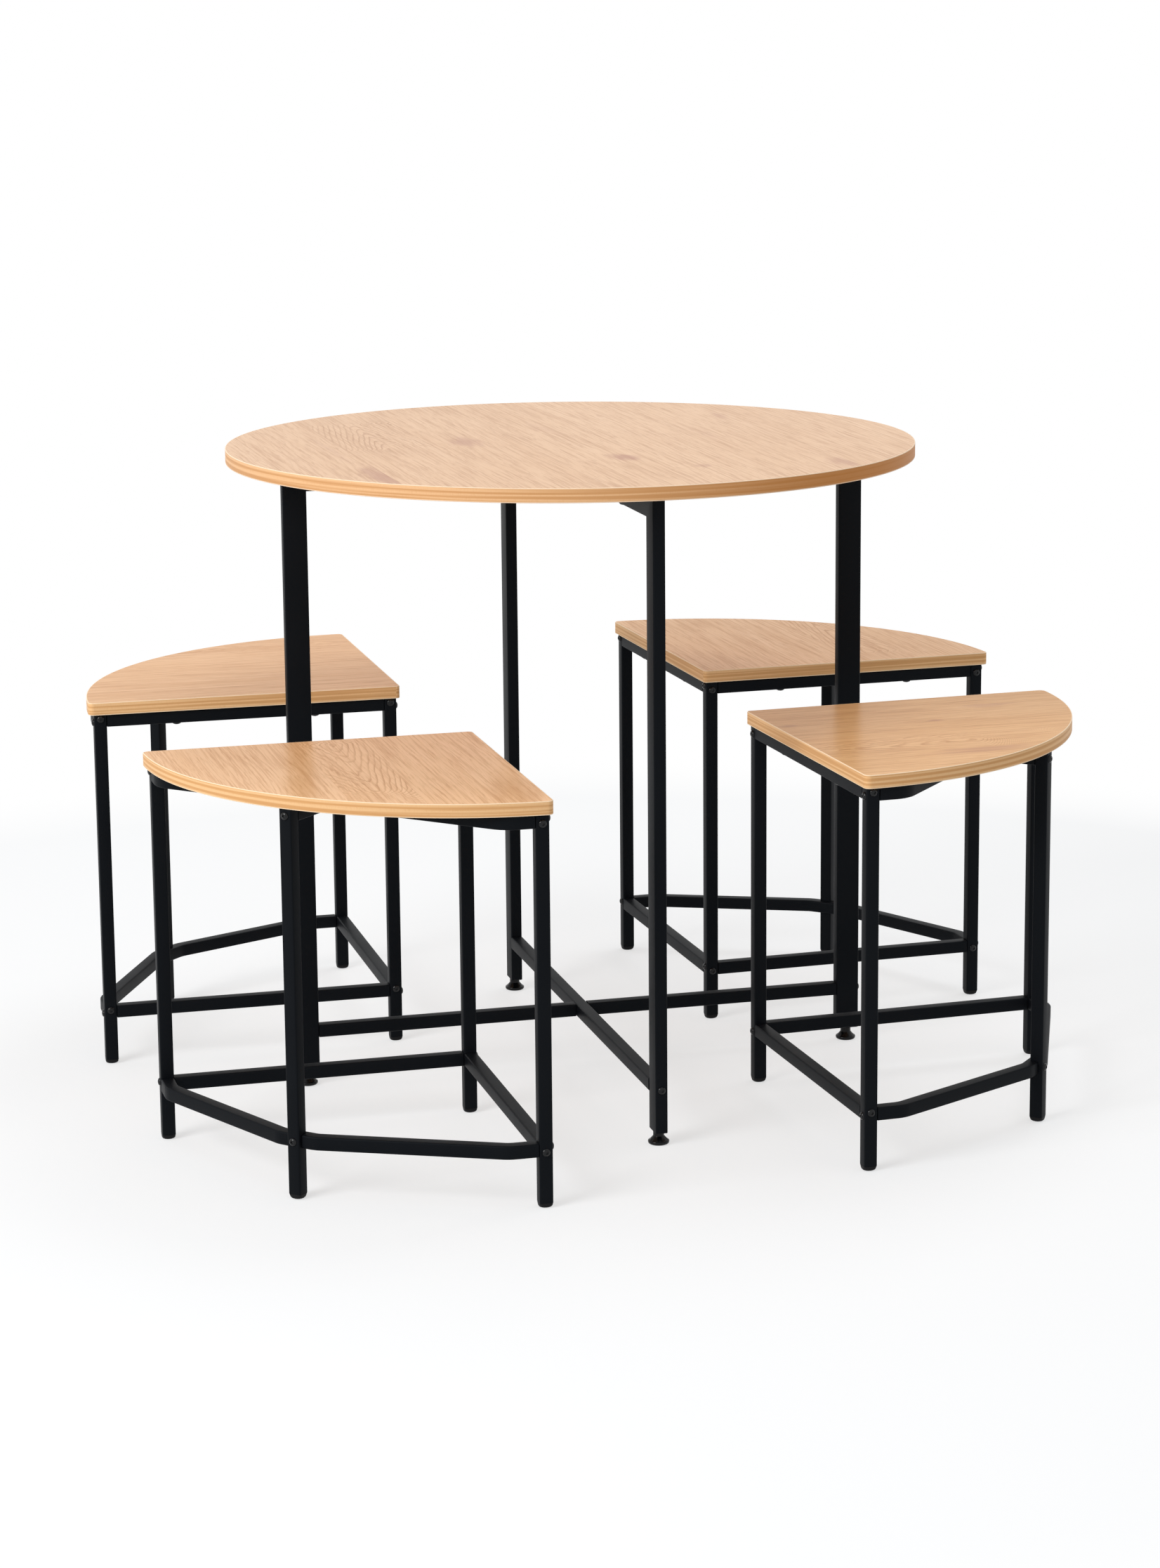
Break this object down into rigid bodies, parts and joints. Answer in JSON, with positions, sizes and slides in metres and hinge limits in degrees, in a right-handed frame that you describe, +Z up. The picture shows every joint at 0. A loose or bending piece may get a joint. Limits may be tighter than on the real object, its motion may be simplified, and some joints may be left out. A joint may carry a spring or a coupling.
{
  "type": "round dining table with nesting quarter-round stools",
  "caption": "Round board-topped dining table on a crossed tube frame, with quarter-round stools that push in between its legs.",
  "frame": {"origin": "on the floor, under the middle of the whole set's outline as it stands in the picture; the table frame's own axis is 4 mm to its left and 3 mm behind it", "axes": "+X runs right along the table's split brace, +Y runs back along its long brace, +Z is up"},
  "size_m": [1.1264, 1.0389, 0.75],
  "materials": {
    "table_oak": "pale oak-look laminate, satin, with a striped oak edge band",
    "seat_oak": "pale oak-look laminate, satin, with a striped oak edge band",
    "powder_coat": "fine satin black powder coat on steel tube",
    "foot_plastic": "matt black moulded plastic"
  },
  "bodies": {
    "table": {"table_top": "table_oak", "table_front_leg": "powder_coat", "table_back_leg": "powder_coat", "table_left_leg": "powder_coat", "table_right_leg": "powder_coat", "long_top_rail": "powder_coat", "left_top_rail": "powder_coat", "right_top_rail": "powder_coat", "long_brace": "powder_coat", "left_brace": "powder_coat", "right_brace": "powder_coat"},
    "front_left_stool": {"front_left_stool_seat": "seat_oak", "front_left_stool_corner_leg": "powder_coat", "front_left_stool_right_end_leg": "powder_coat", "front_left_stool_left_end_leg": "powder_coat", "front_left_stool_arc_leg": "powder_coat", "front_left_stool_lower_right_rail": "powder_coat", "front_left_stool_lower_left_rail": "powder_coat", "front_left_stool_lower_arc_bar": "powder_coat", "front_left_stool_upper_right_rail": "powder_coat", "front_left_stool_upper_left_rail": "powder_coat", "front_left_stool_upper_arc_bar": "powder_coat"},
    "back_left_stool": {"back_left_stool_seat": "seat_oak", "back_left_stool_corner_leg": "powder_coat", "back_left_stool_right_end_leg": "powder_coat", "back_left_stool_left_end_leg": "powder_coat", "back_left_stool_arc_leg": "powder_coat", "back_left_stool_lower_right_rail": "powder_coat", "back_left_stool_lower_left_rail": "powder_coat", "back_left_stool_lower_arc_bar": "powder_coat", "back_left_stool_upper_right_rail": "powder_coat", "back_left_stool_upper_left_rail": "powder_coat", "back_left_stool_upper_arc_bar": "powder_coat"},
    "back_right_stool": {"back_right_stool_seat": "seat_oak", "back_right_stool_corner_leg": "powder_coat", "back_right_stool_right_end_leg": "powder_coat", "back_right_stool_left_end_leg": "powder_coat", "back_right_stool_arc_leg": "powder_coat", "back_right_stool_lower_right_rail": "powder_coat", "back_right_stool_lower_left_rail": "powder_coat", "back_right_stool_lower_arc_bar": "powder_coat", "back_right_stool_upper_right_rail": "powder_coat", "back_right_stool_upper_left_rail": "powder_coat", "back_right_stool_upper_arc_bar": "powder_coat"},
    "front_right_stool": {"front_right_stool_seat": "seat_oak", "front_right_stool_corner_leg": "powder_coat", "front_right_stool_right_end_leg": "powder_coat", "front_right_stool_left_end_leg": "powder_coat", "front_right_stool_arc_leg": "powder_coat", "front_right_stool_lower_right_rail": "powder_coat", "front_right_stool_lower_left_rail": "powder_coat", "front_right_stool_lower_arc_bar": "powder_coat", "front_right_stool_upper_right_rail": "powder_coat", "front_right_stool_upper_left_rail": "powder_coat", "front_right_stool_upper_arc_bar": "powder_coat"},
    "right_levelling_foot": {"right_levelling_foot": "foot_plastic"},
    "back_levelling_foot": {"back_levelling_foot": "foot_plastic"},
    "left_levelling_foot": {"left_levelling_foot": "foot_plastic"},
    "front_levelling_foot": {"front_levelling_foot": "foot_plastic"}
  },
  "joints": [
    {"name": "front_left_stool_slide", "type": "slide", "parent": "table", "child": "front_left_stool", "axis": [-0.7463, -0.6656, 0], "range_m": [-0.2043, 0.25]},
    {"name": "back_left_stool_slide", "type": "slide", "parent": "table", "child": "back_left_stool", "axis": [-0.7994, 0.6007, 0], "range_m": [-0.2164, 0.25]},
    {"name": "back_right_stool_slide", "type": "slide", "parent": "table", "child": "back_right_stool", "axis": [0.8373, 0.5467, 0], "range_m": [-0.203, 0.25]},
    {"name": "front_right_stool_slide", "type": "slide", "parent": "table", "child": "front_right_stool", "axis": [0.8358, -0.5491, 0], "range_m": [-0.1849, 0.25]},
    {"name": "right_levelling_foot_screw", "type": "slide", "parent": "table", "child": "right_levelling_foot", "axis": [0, 0, -1], "range_m": [0, 0.006]},
    {"name": "back_levelling_foot_screw", "type": "slide", "parent": "table", "child": "back_levelling_foot", "axis": [0, 0, -1], "range_m": [0, 0.006]},
    {"name": "left_levelling_foot_screw", "type": "slide", "parent": "table", "child": "left_levelling_foot", "axis": [0, 0, -1], "range_m": [0, 0.006]},
    {"name": "front_levelling_foot_screw", "type": "slide", "parent": "table", "child": "front_levelling_foot", "axis": [0, 0, -1], "range_m": [0, 0.006]}
  ]
}
